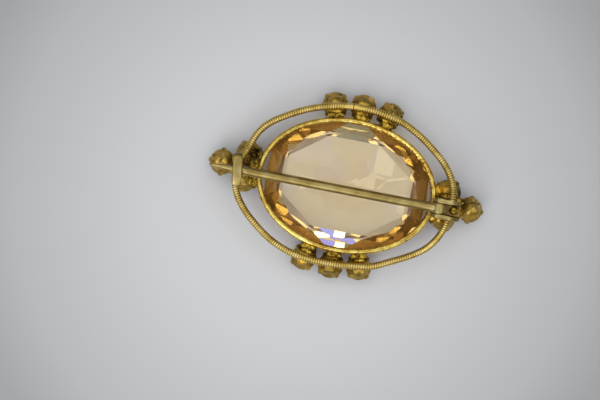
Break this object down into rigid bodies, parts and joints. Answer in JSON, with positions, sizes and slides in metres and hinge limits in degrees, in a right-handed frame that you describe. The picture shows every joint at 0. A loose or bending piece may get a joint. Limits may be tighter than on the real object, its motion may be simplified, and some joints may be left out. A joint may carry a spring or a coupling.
{
  "type": "brooch",
  "caption": "Oval glass-stone brooch with small claw-set stones around a bezel, an outer wire, and a hinged pin with a hook catch on its back.",
  "frame": {"origin": "middle of the main stone's table facet, which is the face the brooch rests on when it lies face down", "axes": "+X along the brooch from the catch to the hinge, +Z out of the back towards the pin, +Y completes a right-handed frame along the short side"},
  "size_m": [0.0402, 0.0268, 0.0079],
  "materials": {
    "champagne_glass": "cut and polished champagne glass",
    "rhinestone_glass": "cut glass with a foiled back",
    "gilt_brass": "bright gilt, hammered and milled",
    "antique_brass": "stamped brass, dulled",
    "milled_brass_wire": "fine ribs across the wire",
    "pale_brass": "drawn and bent, slightly greenish",
    "gilt_solder": "flowed solder under gilding"
  },
  "bodies": {
    "setting": {"bezel_ring": "gilt_brass", "catch_hook": "pale_brass", "chaton_bottom_left": "rhinestone_glass", "chaton_bottom_middle": "rhinestone_glass", "chaton_bottom_right": "rhinestone_glass", "chaton_left_lower": "rhinestone_glass", "chaton_left_tip": "rhinestone_glass", "chaton_left_upper": "rhinestone_glass", "chaton_right_lower": "rhinestone_glass", "chaton_right_tip": "rhinestone_glass", "chaton_right_upper": "rhinestone_glass", "chaton_top_left": "rhinestone_glass", "chaton_top_middle": "rhinestone_glass", "chaton_top_right": "rhinestone_glass", "cup_bottom_left": "antique_brass", "cup_bottom_middle": "antique_brass", "cup_bottom_right": "antique_brass", "cup_left_lower": "antique_brass", "cup_left_tip": "antique_brass", "cup_left_upper": "antique_brass", "cup_right_lower": "antique_brass", "cup_right_tip": "antique_brass", "cup_right_upper": "antique_brass", "cup_top_left": "antique_brass", "cup_top_middle": "antique_brass", "cup_top_right": "antique_brass", "hinge_bracket": "pale_brass", "hinge_rivet": "pale_brass", "main_stone": "champagne_glass", "outer_wire": "milled_brass_wire", "solder_bezel": "gilt_solder", "solder_catch": "gilt_solder", "solder_hinge": "gilt_solder", "solder_tips": "gilt_solder", "solder_wire": "gilt_solder"},
    "pin": {"pin_stem": "pale_brass"}
  },
  "joints": [
    {"name": "pin_swing", "type": "hinge", "parent": "setting", "child": "pin", "pos_m": [0.01331, -0.0006, 0.0068], "axis": [0, 1, 0], "range_deg": [0, 110], "deforming": ["catch_hook"]}
  ]
}
